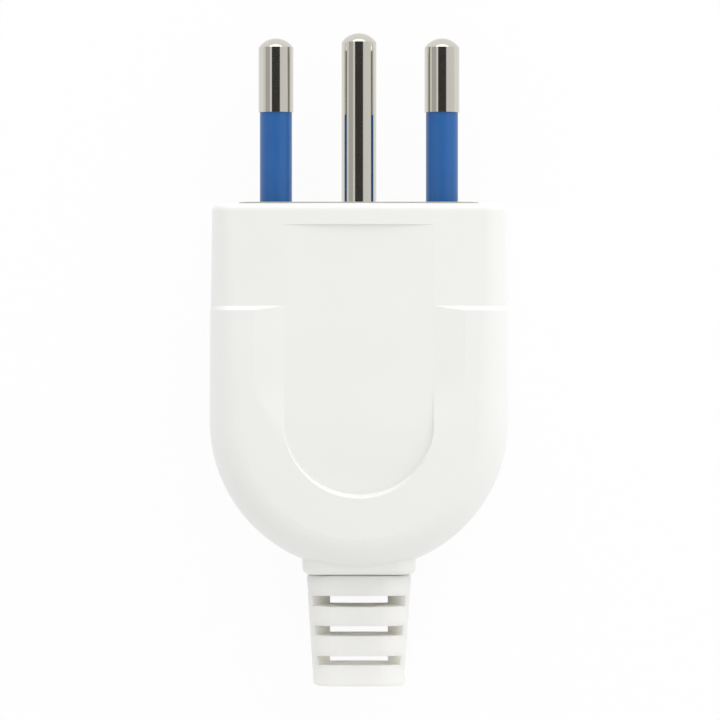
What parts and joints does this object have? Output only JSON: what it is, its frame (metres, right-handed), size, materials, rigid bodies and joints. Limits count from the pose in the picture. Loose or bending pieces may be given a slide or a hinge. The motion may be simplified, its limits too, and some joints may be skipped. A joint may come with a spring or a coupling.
{
  "type": "flat electric plug",
  "caption": "Flat in-line mains plug with round pins, insulating sleeves, a raised horseshoe grip and a slotted flexible cord guard.",
  "frame": {"origin": "middle of the engagement face, on the earth pin's axis and in the plane of all pins", "axes": "+X across the row of pins, +Y along the pins towards their tips, +Z out of the crowned front face; the plug lies on its flat back"},
  "size_m": [0.034, 0.0745, 0.0152],
  "materials": {
    "casing_white": "satin",
    "guard_white": "satin",
    "carrier_grey": "satin",
    "sleeve_blue": "satin",
    "plated_pin": "polished",
    "terminal_brass": "satin",
    "screw_steel": "satin",
    "clamp_white": "matte"
  },
  "bodies": {
    "root": {"front_shell": "casing_white", "rear_shell": "casing_white", "strain_relief": "guard_white", "pin_carrier": "carrier_grey", "left_pin_sleeve": "sleeve_blue", "right_pin_sleeve": "sleeve_blue", "left_pin": "plated_pin", "right_pin": "plated_pin", "earth_pin": "plated_pin", "left_terminal": "terminal_brass", "right_terminal": "terminal_brass", "earth_terminal": "terminal_brass", "left_terminal_screw": "screw_steel", "right_terminal_screw": "screw_steel", "earth_terminal_screw": "screw_steel", "cord_clamp": "clamp_white", "left_clamp_screw": "screw_steel", "right_clamp_screw": "screw_steel", "left_case_screw": "screw_steel", "right_case_screw": "screw_steel", "left_case_nut": "screw_steel", "right_case_nut": "screw_steel"}
  },
  "joints": []
}
